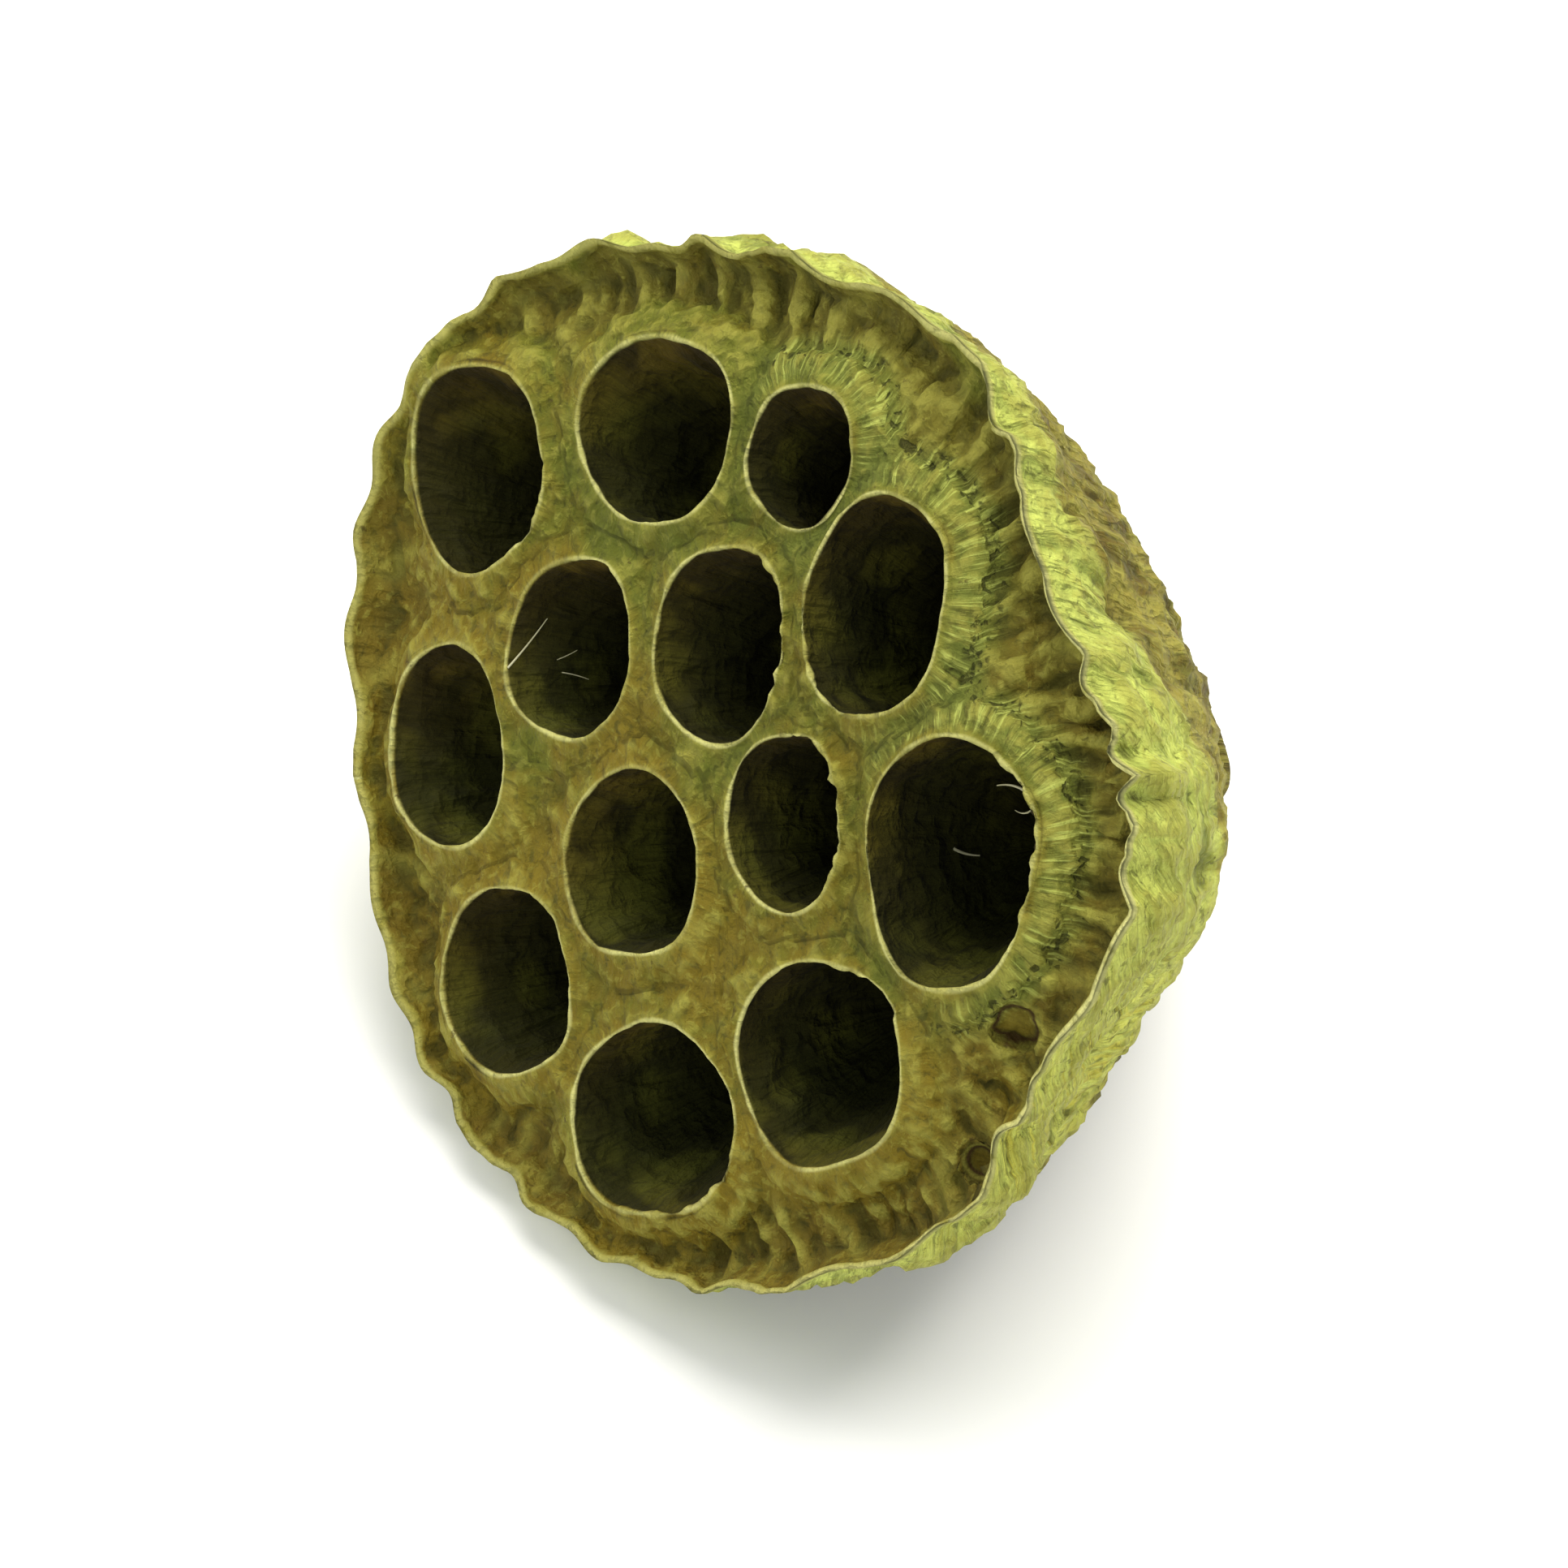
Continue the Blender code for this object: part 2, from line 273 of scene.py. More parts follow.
def pit_radius(pit, angle):
    """The radius of a pit's mouth at each angle, a rounded egg with a slight wobble."""
    across, up, width, height, turn, narrowing = pit
    side = angle - math.radians(turn)
    broad = np.abs(np.cos(side) / (width / 2)) ** PIT_SQUARENESS
    tall = np.abs(np.sin(side) / (height / 2)) ** PIT_SQUARENESS
    egg = 1 - narrowing * np.sin(side) * np.cos(side) ** 2
    wobble = 1 + 0.025 * np.sin(3 * angle + across) + 0.02 * np.sin(5 * angle + up)
    return (broad + tall) ** (-1 / PIT_SQUARENESS) * egg * wobble


def select_only(piece):
    """Leaves one object selected and active."""
    bpy.ops.object.select_all(action="DESELECT")
    piece.select_set(True)
    bpy.context.view_layer.objects.active = piece


def apply_modifiers(piece):
    """Makes all modifiers part of the mesh."""
    select_only(piece)
    for modifier in list(piece.modifiers):
        bpy.ops.object.modifier_apply(modifier=modifier.name)


def read(items, name, columns, kind=float):
    """One property of all vertices, edges, corners or faces, a row for each."""
    values = np.empty(len(items) * columns, kind)
    items.foreach_get(name, values)
    return values.reshape(-1, columns)


def read_points(mesh):
    """Each vertex's place in m."""
    return read(mesh.vertices, "co", 3)


def read_normals(mesh):
    """The way each vertex faces."""
    return read(mesh.vertices, "normal", 3)


def read_edges(mesh):
    """The two vertices of each edge."""
    return read(mesh.edges, "vertices", 2, int)


class Survey:
    """Where each vertex lies: on the face, a lip, in a pit, by the rim or on the wall."""

    def __init__(self, mesh):
        self.here = to_pod(read_points(mesh))
        facing = read_normals(mesh) @ TURN_ARRAY
        self.across, self.up = self.here[:, 0], self.here[:, 1]
        self.radius = np.hypot(self.across, self.up)
        self.angle = np.arctan2(self.up, self.across)
        self.depth = -self.here[:, 2]
        outward = facing[:, 0] * self.across + facing[:, 1] * self.up
        self.find_pits(facing)
        self.find_rim()
        self.wall = self.find_wall(read_edges(mesh), outward / np.maximum(self.radius, 0.01))
        self.face = ~self.wall & (self.in_pit == 0)

    def find_pits(self, facing):
        """A pit's wall faces the pit's own middle, and the pod's outer wall faces away from it."""
        count = len(self.here)
        self.to_pit = np.full(count, FAR)
        self.to_next_pit = np.full(count, FAR)
        self.pit = np.zeros(count, int)
        self.pit_angle = np.zeros(count)
        self.in_pit = np.zeros(count)
        lean = 1 - np.maximum(self.depth, 0) / PIT_MEETING_DEPTH
        for number, pit in enumerate(PITS):
            way = self.here[:, :2] / lean[:, None] - np.array(pit[:2])
            reach = np.hypot(way[:, 0], way[:, 1])
            angle = np.arctan2(way[:, 1], way[:, 0])
            gap = reach - pit_radius(pit, angle)
            below = np.maximum(self.mouth_height(gap, angle) - self.here[:, 2], 0)
            away = (facing[:, :2] * way).sum(1) > 0.15 * reach
            outer = away & (facing[:, 2] < 0.3) & (below > 2.0)
            inside = (gap < 0.45 + 0.06 * below) & (self.depth < DEEPEST_PIT) & ~outer
            below = np.where(inside, below, 0)
            nearer = gap < self.to_pit
            next_gap = np.minimum(self.to_next_pit, gap)
            self.to_next_pit = np.where(nearer, self.to_pit, next_gap)
            self.to_pit[nearer] = gap[nearer]
            self.pit[nearer] = number
            self.pit_angle[nearer] = angle[nearer]
            self.in_pit = np.where(below > 0.15, below, self.in_pit)

    def mouth_height(self, gap, angle):
        """How high a pit's lip is at each angle round the pit, read from the mesh in steps."""
        lip = np.nonzero((np.abs(gap) < 0.35) & (np.abs(self.depth) < 3.0))[0]
        lip = lip[np.argsort(self.here[lip, 2])]
        turn = angle / math.tau % 1.0
        step = np.floor(turn[lip] * LIP_STEPS).astype(int) % LIP_STEPS
        height = np.full(LIP_STEPS, self.here[lip, 2].mean())
        height[step] = self.here[lip, 2]
        return np.interp(turn, (np.arange(LIP_STEPS) + 0.5) / LIP_STEPS, height, period=1.0)

    def find_rim(self):
        """How far in from the rim and under it each vertex is, as read from the mesh."""
        near = np.nonzero((np.abs(self.depth) < 2.5) & (self.in_pit == 0))[0]
        near = near[np.argsort(self.radius[near] + self.here[near, 2])]
        turn = self.angle / math.tau % 1.0
        step = np.floor(turn[near] * RIM_STEPS).astype(int) % RIM_STEPS
        rim = np.full(RIM_STEPS, -1)
        rim[step] = near
        rim = rim[rim >= 0]
        self.to_rim = np.interp(turn, turn[rim], self.radius[rim], period=1.0) - self.radius
        rim_height = np.interp(turn, turn[rim], self.here[rim, 2], period=1.0)
        self.under_rim = rim_height - self.here[:, 2]

    def find_wall(self, edges, outward):
        """The wall grows from well below the rim up to it, over all that faces outwards."""
        near_rim = (self.under_rim > 0.05) & (self.to_rim < 5.0)
        allowed = (self.in_pit == 0) & (outward > 0.1) & near_rim
        wall = (self.in_pit == 0) & (self.depth > WALL_START)
        for _ in range(WALL_ROUNDS):
            grown = wall.copy()
            grown[edges[wall[edges].any(axis=1)].ravel()] = True
            wall |= grown & allowed
        return wall

    def groove(self):
        """Near 1 halfway between two pits that are close, most towards the upper right."""
        middle = np.exp(-((self.to_next_pit - self.to_pit) / 2.6) ** 2)
        place = self.across * 0.55 + self.up * 0.35
        patchy = 0.5 + 0.5 * np.sin(self.across * 0.9 + 1.0) * np.sin(self.up * 0.8 + 0.4)
        middle = middle * (0.15 + 0.5 * ease(0.35 + place / 16) + 0.5 * patchy)
        return np.where(self.face, middle * ease((5.5 - self.to_pit) / 2), 0)

    def collar(self):
        """Near 1 on the slopes outside the pits that face the crumpled side of the rim."""
        outward = np.cos(self.pit_angle - 0.35)
        near = ease((self.to_pit - 0.3) / 0.8) * ease((4.6 - self.to_pit) / 2.0)
        near = near * ease(self.to_rim / 2.5) * ease(outward * 0.9 + 0.75)
        return np.where(self.face & np.isin(self.pit, COLLARED_PITS), near, 0)

    def to_dimple(self):
        """How far it is to the nearest blind dimple's middle, as a share of its radius."""
        share = np.full(len(self.here), 3.0)
        for across, up, radius in DIMPLES:
            gap = np.hypot(self.across - across, self.up - up)
            share = np.minimum(share, gap / radius)
        return np.where(self.face, share, 3.0)

    def dimple_spots(self, points):
        """Each blind dimple's middle on the finished skin, and its radius, in m."""
        spots = []
        for across, up, radius in DIMPLES:
            gap = np.hypot(self.across - across, self.up - up) + np.where(self.face, 0, FAR)
            spots.append((points[gap.argmin()], radius * MM))
        return spots

    def pleats(self, count, shift):
        """Sharp-crested pleats that run out to the rim: near 1 on a crest, unevenly spaced."""
        uneven = 2.2 * np.sin(3 * self.angle + shift) + 1.2 * np.sin(8 * self.angle + 2 * shift)
        uneven += 0.6 * np.sin(self.to_rim * 0.7 + 6 * self.angle + shift)
        return 1 - np.sqrt(np.sin(count * self.angle / 2 + uneven) ** 2 + 0.01)

    def raggedness(self):
        """Near 1 on the lips that dried ragged."""
        value = np.zeros(len(self.here))
        for pit, turn, spread in RAGGED_LIPS:
            off = np.abs((np.degrees(self.pit_angle) - turn + 180) % 360 - 180)
            value = np.maximum(value, np.where(self.pit == pit, ease(1.6 - off / spread), 0))
        return value


def strand_map(mesh, survey):
    """A UV map of strands that run down the wall and the pits, and across lips and trough."""
    corners = read(mesh.loops, "vertex_index", 1, int).ravel()
    sizes = read(mesh.polygons, "loop_total", 1, int).ravel()
    owner = np.repeat(np.arange(len(sizes)), sizes)
    near_pit = (survey.in_pit > 0) | (survey.face & (survey.to_pit < 2.6))
    by_pit = (np.bincount(owner, near_pit[corners]) / sizes > 0.5)[owner]
    turn = np.where(by_pit, survey.pit_angle[corners], survey.angle[corners])
    first = np.zeros(len(sizes), int)
    first[1:] = np.cumsum(sizes)[:-1]
    start = turn[first][owner]
    turn = start + (turn - start + math.pi) % math.tau - math.pi
    slant = STRANDS_SLANT * np.exp(-((survey.angle + 0.75) / 0.9) ** 2)
    slanted = slant * np.where(survey.wall, np.clip(survey.depth, 0, 11), 0)
    round_pod = turn * STRANDS_ROUND_POD + slanted[corners]
    pit_shift = STRANDS_NEXT_PIT * survey.pit[corners][first][owner]
    across = np.where(by_pit, turn * STRANDS_ROUND_PIT + pit_shift, round_pod)
    along_pit = np.where(survey.in_pit > 0, survey.in_pit, -survey.to_pit)[corners]
    along_pod = np.where(survey.wall, survey.depth, -survey.to_rim)[corners]
    along = np.where(by_pit, along_pit, along_pod) * STRANDS_ALONG
    layer = mesh.uv_layers.new(name="strands")
    layer.data.foreach_set("uv", np.column_stack([across, along]).astype(np.float32).ravel())


def relief_values(mesh, rounds):
    """How far each vertex stands out from the skin round it, evened out in that many rounds."""
    points = read_points(mesh) / MM
    edges = read_edges(mesh)
    count = np.maximum(np.bincount(edges.ravel(), minlength=len(points)), 1)
    smooth = points
    for _ in range(rounds):
        total = np.zeros_like(smooth)
        np.add.at(total, edges[:, 0], smooth[edges[:, 1]])
        np.add.at(total, edges[:, 1], smooth[edges[:, 0]])
        smooth = total / count[:, None]
    return ((points - smooth) * read_normals(mesh)).sum(1)


def room_inside(piece, survey):
    """How far each vertex near the rim may sink, so that the thin rim isn't pierced."""
    tree = BVHTree.FromObject(piece, bpy.context.evaluated_depsgraph_get())
    points = read_points(piece.data)
    normals = read_normals(piece.data)
    room = np.full(len(points), FAR)
    near_rim = (survey.in_pit == 0) & (survey.to_rim < 6) & (survey.depth < 12)
    for number in np.nonzero(near_rim)[0]:
        way = Vector(-normals[number])
        under_skin = Vector(points[number]) + way * 0.02 * MM
        thickness = tree.ray_cast(under_skin, way, THICKEST_RIM * MM)[3]
        if thickness is not None:
            room[number] = FOLD_SHARE * thickness / MM
    return room


def mark_group(piece, name, weights):
    """A vertex group with a weight for each vertex."""
    group = piece.vertex_groups.new(name=name)
    steps = np.round(np.clip(weights, 0, 1) * WEIGHT_STEPS).astype(int)
    for step in range(1, WEIGHT_STEPS + 1):
        chosen = np.nonzero(steps == step)[0]
        if len(chosen):
            group.add(chosen.tolist(), step / WEIGHT_STEPS, "REPLACE")


def wrinkle(piece, name, height, group, scale=None, kind="CLOUDS", on_strands=False, **pattern):
    """Raises a vertex group by a height, evenly or in a pattern of that scale."""
    modifier = piece.modifiers.new(name, "DISPLACE")
    modifier.mid_level = 0.0
    if scale is not None:
        texture = bpy.data.textures.new(name, kind)
        texture.noise_scale = scale
        for key, value in pattern.items():
            setattr(texture, key, value)
        modifier.texture = texture
        modifier.mid_level = 0.5
        modifier.texture_coords = "UV" if on_strands else "LOCAL"
        if on_strands:
            modifier.uv_layer = "strands"
    modifier.strength = height * MM
    modifier.vertex_group = group
    apply_modifiers(piece)


class Level:
    """A number that varies over a surface. Sums written with it add the nodes for them."""

    def __init__(self, shading, socket):
        self.shading = shading
        self.socket = socket

    def sum_of(self, operation, first, second):
        """The number that a Math node makes of two others."""
        node = self.shading.add("ShaderNodeMath", {"operation": operation}, {0: first, 1: second})
        return Level(self.shading, node.outputs[0])

    def __add__(self, other):
        return self.sum_of("ADD", self, other)

    def __radd__(self, other):
        return self.sum_of("ADD", other, self)

    def __sub__(self, other):
        return self.sum_of("SUBTRACT", self, other)

    def __rsub__(self, other):
        return self.sum_of("SUBTRACT", other, self)

    def __mul__(self, other):
        return self.sum_of("MULTIPLY", self, other)

    def __rmul__(self, other):
        return self.sum_of("MULTIPLY", other, self)

    def __truediv__(self, other):
        return self.sum_of("DIVIDE", self, other)

    def __rtruediv__(self, other):
        return self.sum_of("DIVIDE", other, self)


class Shading:
    """The node tree of one material."""

    def __init__(self, name):
        self.material = bpy.data.materials.new(name)
        self.material.use_nodes = True
        self.tree = self.material.node_tree
        self.shader = self.tree.nodes["Principled BSDF"]

    def add(self, kind, settings=None, inputs=None):
        """Adds a node: its settings first, then the values or links of its sockets."""
        node = self.tree.nodes.new(kind)
        for name, value in (settings or {}).items():
            setattr(node, name, value)
        self.feed(node, inputs or {})
        return node

    def feed(self, node, inputs):
        """Gives a node's sockets their values or links."""
        for name, value in inputs.items():
            if isinstance(value, Level):
                value = value.socket
            if isinstance(value, bpy.types.NodeSocket):
                self.tree.links.new(value, node.inputs[name])
            else:
                node.inputs[name].default_value = value

    def place(self):
        """The place on the object."""
        return self.add("ShaderNodeTexCoord").outputs["Object"]

    def number(self, name):
        """A vertex attribute as a number."""
        node = self.add("ShaderNodeAttribute", {"attribute_name": name})
        return Level(self, node.outputs["Fac"])

    def above(self, value, low, high):
        """0 below low, 1 above high, easing in between."""
        node = self.add(
            "ShaderNodeMapRange",
            {"interpolation_type": "SMOOTHSTEP"},
            {"Value": value, "From Min": low, "From Max": high},
        )
        return Level(self, node.outputs["Result"])

    def below(self, value, low, high):
        """1 below low, 0 above high, easing in between."""
        return 1.0 - self.above(value, low, high)

    def bell(self, value, middle, breadth):
        """1 where the value is at the middle, falling to 0 at a breadth from it."""
        node = self.add("ShaderNodeMath", {"operation": "ABSOLUTE"}, {0: value - middle})
        return self.below(Level(self, node.outputs[0]), 0.0, breadth)

    def noise(self, vector, scale, detail, roughness=0.55, distortion=0.0):
        """Soft noise round 0.5."""
        values = {"Vector": vector, "Scale": scale, "Detail": detail}
        values |= {"Roughness": roughness, "Distortion": distortion}
        return Level(self, self.add("ShaderNodeTexNoise", None, values).outputs["Fac"])

    def ridged(self, vector, scale):
        """Noise with sharp ridges, from about 0 to 1."""
        settings = {"noise_type": "RIDGED_MULTIFRACTAL", "normalize": True}
        values = {"Vector": vector, "Scale": scale, "Detail": 3.0, "Roughness": 0.5}
        values |= {"Offset": 0.9, "Gain": 2.0}
        return Level(self, self.add("ShaderNodeTexNoise", settings, values).outputs["Fac"])

    def stretch(self, vector, factors):
        """A vector with each of its parts multiplied."""
        values = {0: vector, 1: factors}
        return self.add("ShaderNodeVectorMath", {"operation": "MULTIPLY"}, values).outputs[0]

    def distance(self, vector, spot):
        """How far a vector is from a spot."""
        values = {0: vector, 1: tuple(spot)}
        node = self.add("ShaderNodeVectorMath", {"operation": "DISTANCE"}, values)
        return Level(self, node.outputs["Value"])

    def mix(self, factor, first, second):
        """One colour, going over to a second as the factor goes to 1."""
        settings = {"data_type": "RGBA", "clamp_factor": True}
        return self.add("ShaderNodeMix", settings, {0: factor, 6: first, 7: second}).outputs[2]

    def shade(self, colour, factor):
        """A colour made darker or lighter by a number."""
        values = {0: colour, "Scale": factor}
        return self.add("ShaderNodeVectorMath", {"operation": "SCALE"}, values).outputs[0]

    def finish(self, inputs):
        """Feeds the shader, and gives the finished material."""
        self.feed(self.shader, inputs)
        return self.material


class PodPaint(Shading):
    """Dry, crumpled skin: olive face, pale crests and dark pits painted as highlights and shade, and a brown cone."""

    def __init__(self, look):
        super().__init__("dried_pod_skin")
        self.look = look
        self.spot = self.place()
        self.strands = self.add("ShaderNodeUVMap", {"uv_map": "strands"}).outputs["UV"]
        self.pit = self.number("pit_depth")
        self.wall = self.number("on_wall")
        self.turn = self.number("turn")
        self.to_pit = self.number("to_pit")
        self.between_pits = self.number("between_pits")
        self.seam = self.number("seam")
        self.collar = self.number("on_collar")
        self.patches = self.noise(self.spot, 95.0, 4.0, 0.6)
        self.blots = self.noise(self.spot, 330.0, 4.0, 0.62, 0.8)
        self.specks = self.noise(self.spot, 1100.0, 4.0, 0.7)
        self.flecks = self.noise(self.spot, 1000.0, 4.0, 0.65, 0.6)
        self.ridges = self.ridged(self.spot, 360.0)
        self.streaks = self.noise(self.along((6.0, 3.5, 1.0)), 2.0, 3.0, 0.55, 0.7)
        self.threads = self.faded(self.noise(self.along((14.0, 5.0, 1.0)), 2.2, 5.0, 0.65, 0.6))
        self.creases = self.faded(self.noise(self.along((5.0, 5.0, 1.0)), 2.0, 4.0, 0.6, 1.2))
        self.folds = self.faded(self.ridged(self.along((5.5, 7.0, 1.0)), 1.0))
        self.unevenness = self.blots - 0.5
        # Painted light: the side of the wall round this angle, which faces the light, is painted lighter and yellower
        self.dry_side = self.bell(self.turn, -0.75, 0.8)
        self.cone = self.on_cone()
        self.height = self.height_here()
        # Painted highlight: where the relief stands out the skin is painted paler, less so on the cone
        self.crest = self.above(self.height, 0.10, 0.75) * (0.62 - self.wall * self.cone * 0.5)
        self.pores = self.pore_pattern()

    def along(self, factors):
        """The strands' map, stretched."""
        return self.stretch(self.strands, factors)

    def faded(self, pattern):
        """A pattern that goes flat where the map of one pit meets that of the next."""
        return pattern + (0.48 - pattern) * self.seam

    def on_cone(self):
        """1 on the cone, up to an uneven edge that reaches lower on one side."""
        lower = self.bell(self.turn, -0.60, 0.95) * 14.0
        green_to = 6.5 - self.bell(self.turn, 0.75, 0.55) * 3.5 + lower
        uneven = (self.patches - 0.5) * 9.0
        edge = self.number("depth") - green_to + uneven + (self.creases - 0.5) * 5.0
        return self.above(edge, -1.2, 1.6)

    def height_here(self):
        """How far the skin stands out, with the finest ridges and folds added."""
        relief = self.number("fine_relief") * (1.7 - self.seam * 1.2)
        relief = relief + self.number("broad_relief") * 0.40
        return relief + (self.ridges - 0.45) * 0.28 + (self.folds - 0.45) * 0.22

    def pore_pattern(self):
        """Small pores in a ring round each pit, most on the collars."""
        ring = self.bell(self.to_pit + (self.patches - 0.5) * 3.0, 3.0, 1.5)
        ringed = self.above(ring * (0.35 + self.collar), 0.25, 0.7)
        pores = self.noise(self.spot, 1300.0, 2.0, 0.5, 0.5)
        return self.above(pores, 0.56, 0.68) * ringed * (1.0 - self.wall)

    def face(self):
        """Olive, greener in patches and on lip slopes, browner inside the rim."""
        look = self.look
        mottle = self.patches * 0.7 + self.blots * 0.35 + self.number("green_side") * 0.35
        colour = self.mix(self.above(mottle, 0.60, 0.84), look.skin, look.skin_green)
        panels = self.above(self.to_pit + self.unevenness * 2.0, 2.8, 4.4)
        panels = panels * self.below(self.to_pit, 7.5, 8.9)
        colour = self.mix(panels * (0.15 + self.patches * 0.9), colour, look.trough)
        return self.mix(self.collar * (0.35 + self.blots * 0.8), colour, look.lip_slope)

    def side(self):
        """Green under the rim, brown on the cone, painted lighter and yellower as painted light on the lit side, with
        painted highlights on the strands, streaks and folds and painted shade between them.
        """
        # dry stands for the lit side, where the wall is painted lighter and yellower as painted light
        look, dry = self.look, self.dry_side
        green = 1.0 - self.cone * 0.6
        colour = self.mix(dry * (0.35 + self.blots * 0.6), look.wall, look.wall_dry)
        colour = self.mix(self.cone, colour, look.cone)
        # Painted highlights on the folds' ridges, and painted light on the lit side
        colour = self.shade(colour, 0.68 + self.folds * 0.75 + dry * 0.32)
        # Painted highlights on the raised strands, streaks and folds, painted shade in the low strands and streaks,
        # and darker creases
        for strength, second in (
            (self.above(self.threads, 0.50, 0.62) * (0.25 + dry * 0.3) * green, look.wall_crest),
            (self.above(self.streaks, 0.51, 0.60) * (0.25 + dry * 0.45) * green, look.wall_crest),
            (self.below(self.streaks, 0.38, 0.48) * (0.30 + dry * 0.40), look.groove_green),
            (self.below(self.threads, 0.34, 0.46) * (0.2 + dry * 0.2), look.groove),
            (self.above(self.folds, 0.50, 0.85) * (0.6 - self.cone * 0.45), look.wall_crest),
            (self.above(self.creases, 0.56, 0.72) * 0.5, look.groove),
        ):
            colour = self.mix(strength, colour, second)
        return colour

    def grain(self, skin):
        """Adds flecks and fine grain, and paints the grooves between the pits darker and greener, partly their own
        colour and partly painted shade.
        """
        look = self.look
        skin = self.mix(self.above(self.flecks, 0.55, 0.66) * 0.55, skin, look.groove)
        skin = self.mix(self.below(self.flecks, 0.36, 0.45) * 0.35, skin, look.crest)
        grain = self.threads * 0.4 + self.specks * 0.6 + self.blots * 0.5
        skin = self.shade(skin, 0.35 + grain * 0.93)
        # The sunk grooves between the pits: greener as their own colour, darker as painted shade
        grooved = self.between_pits * (0.05 + self.patches * 0.75)
        return self.mix(grooved, skin, look.groove_green)

    def wrinkles(self, skin):
        """Paints shade into the low parts, and highlights on crests, pleat crests and the collars' strands, with shade
        between those strands.
        """
        look = self.look
        # Painted shade: the low parts of the relief are painted darker, less so between the pits
        low = self.above(0.0 - self.height, 0.02, 0.75) * (0.62 - self.between_pits * 0.4)
        skin = self.mix(low, skin, look.groove)
        # Painted highlights on the relief's crests and on the pleats' crests
        skin = self.mix(self.crest, skin, look.crest)
        skin = self.mix(self.number("pleat_crest") * (0.2 + self.blots * 0.8), skin, look.crest)
        # Painted highlights on the collars' raised strands, and painted shade between them
        strands = self.above(self.threads, 0.50, 0.66) * self.collar * 0.75
        skin = self.mix(strands, skin, look.wall_crest)
        between = self.below(self.threads, 0.30, 0.46) * self.collar * 0.6
        return self.mix(between, skin, look.groove)

    def edges(self, skin):
        """Adds the painted highlights on the thin edges of the pits and on the rim's crest, stronger on the rim's
        right side.
        """
        # Painted highlight along the thin edge of each pit's mouth, in patches
        lip_highlight = self.below(self.to_pit + self.unevenness * 0.5, 0.05, 0.32)
        lip = self.above(self.to_pit, -0.3, 0.0) * lip_highlight
        patchy = self.above(self.patches + self.unevenness * 0.7, 0.36, 0.60) * 0.75 + 0.25
        lip = lip * patchy * (0.3 + self.blots * 0.8)
        # Painted highlight along the rim's crest, stronger on the side that faces the light
        rim = self.below(self.number("to_rim"), 0.1, 0.45)
        rim = rim * self.below(self.number("under_rim"), 0.2, 0.7)
        rim = rim * (0.25 + self.bell(self.turn, -0.1, 2.0) * 0.8)
        return self.mix(lip + rim * self.above(self.blots, 0.25, 0.50), skin, self.look.edge)

    def dimple(self, skin, spot, radius):
        """Adds a blind dimple's flat middle, its dark ring and a pale one outside it, a painted highlight on its
        raised edge.
        """
        look = self.look
        gap = self.distance(self.spot, spot) / radius + self.unevenness * 0.5
        skin = self.mix(self.below(gap, 0.6, 0.95) * 0.6, skin, look.skin)
        ring = self.bell(gap, 1.0, 0.22) * self.above(self.blots, 0.25, 0.45)
        skin = self.mix(ring, skin, look.dimple)
        # Painted highlight on the dimple's raised edge
        return self.mix(self.bell(gap, 1.25, 0.22) * 0.4, skin, look.crest)

    def inside(self):
        """The pits: partly their own brown and partly painted shade, darker with depth as painted shade, greener low
        down as painted light, with veins and cracks.
        """
        look = self.look
        veins = self.noise(self.spot, 210.0, 3.0, 0.6, 1.5)
        deep = self.above(self.pit + (veins - 0.5) * 0.5, -0.05, 0.55)
        # Painted shade: darker with depth
        colour = self.mix(deep, look.pit_top, look.pit_floor)
        # Painted light: greener and a little lighter on each pit's lower side, which faces the light
        greener = self.number("pit_low") * (0.2 + self.patches * 0.8)
        colour = self.mix(greener, colour, look.pit_low)
        colour = self.shade(colour, 0.45 + self.threads * 1.1)
        cracks = self.ridged(self.spot, 120.0)
        return self.shade(colour, 1.4 - self.above(cracks, 0.35, 1.0) * 0.9)

    def bumps(self):
        """The finest relief, as a normal."""
        relief = self.ridges * 0.75 + self.folds * (0.7 + self.wall * 0.9) + self.blots * 0.6
        relief = relief + self.specks * 0.25 - self.pores * 0.8
        relief = relief + self.threads * (0.35 + self.collar * 0.5 + self.wall * 0.3)
        relief = relief + self.streaks * self.wall * 2.0 - self.flecks * 0.7
        values = {"Strength": 0.85, "Distance": 0.75 * MM, "Height": relief}
        return self.add("ShaderNodeBump", None, values).outputs["Normal"]

    def paint(self, dimple_spots):
        """The finished material."""
        skin = self.mix(self.wall, self.face(), self.side())
        skin = self.edges(self.wrinkles(self.grain(skin)))
        for spot, radius in dimple_spots:
            skin = self.dimple(skin, spot, radius)
        dark = self.above(self.specks * 0.5 + self.blots * 0.6, 0.66, 0.74)
        skin = self.mix(dark * 0.7, skin, self.look.dimple)
        skin = self.mix(self.pores * 0.75, skin, self.look.pore)
        # The pits' inside, painted dark as shade
        skin = self.mix(self.above(self.pit, 0.004, 0.026), skin, self.inside())
        return self.finish({
            "Base Color": skin,
            "Roughness": 0.74 - self.crest * 0.2 + self.above(self.pit, 0.0, 0.1) * 0.2,
            "Normal": self.bumps(),
            "Specular IOR Level": 0.14,
        })


def fibre_material():
    """Pale, papery threads."""
    paint = Shading("dry_fibre")
    tone = paint.noise(paint.place(), 400.0, 2.0)
    colour = paint.mix(tone, (0.48, 0.46, 0.29, 1.0), (0.26, 0.24, 0.11, 1.0))
    return paint.finish({"Base Color": colour, "Roughness": 0.6})


def tint(name, description, red, green, blue):
    """A colour setting and its default."""
    return bpy.props.FloatVectorProperty(
        name=name,
        description=description,
        default=(red, green, blue, 1.0),
        subtype="COLOR", size=4, min=0.0, max=1.0,
    )


